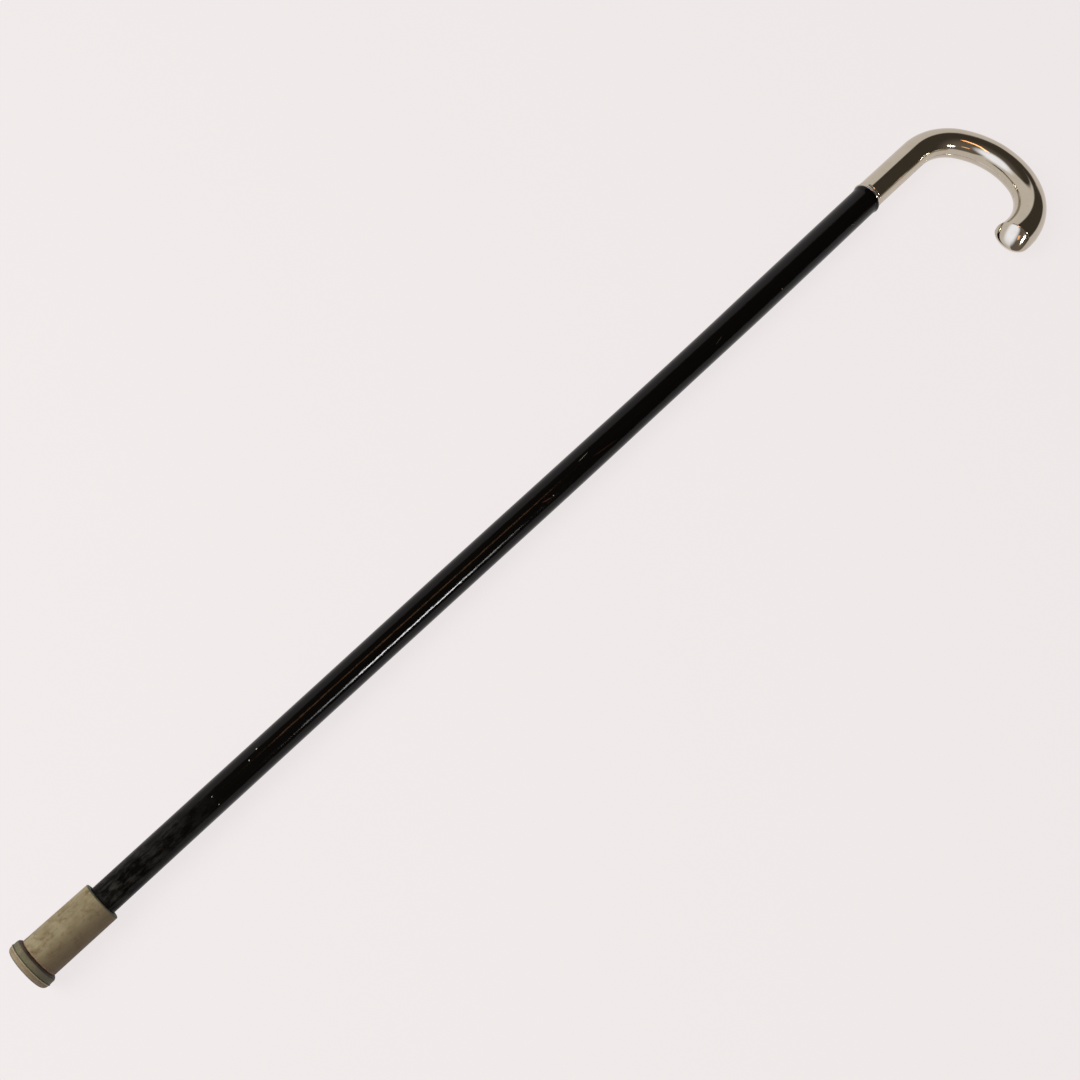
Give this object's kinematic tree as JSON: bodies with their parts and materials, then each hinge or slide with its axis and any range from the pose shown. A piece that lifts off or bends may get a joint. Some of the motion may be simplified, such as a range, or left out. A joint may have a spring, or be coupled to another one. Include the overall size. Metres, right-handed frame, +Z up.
{
  "type": "walking stick",
  "caption": "Crook-handled walking stick with a tapering dark wooden shaft, a hollow metal handle and a push-on rubber ferrule.",
  "frame": {"origin": "on the floor, under the centre of the box round the stick as it lies", "axes": "+X along the shaft from ferrule to handle, +Z up from the floor, crook hooking towards -Y"},
  "size_m": [0.8728, 0.1294, 0.0318],
  "materials": {
    "ebonised_wood": "polished black lacquer, worn to brown in places",
    "silver": "polished, with fine handling marks",
    "cement": "matt, hidden",
    "steel": "turned",
    "aged_rubber": "matt, stained with age"
  },
  "bodies": {
    "stick": {"shaft": "ebonised_wood", "joining_stud": "steel", "crook_core": "cement", "crook_shell_left": "silver", "crook_shell_right": "silver", "crook_end_cap": "silver", "mouth_ring": "silver"},
    "ferrule": {"ferrule_washer": "steel", "rubber_ferrule": "aged_rubber"}
  },
  "joints": [
    {"name": "ferrule_pull_off", "type": "slide", "parent": "stick", "child": "ferrule", "axis": [-0.9999, 0.0158, 0.0054], "range_m": [0, 0.06]}
  ]
}
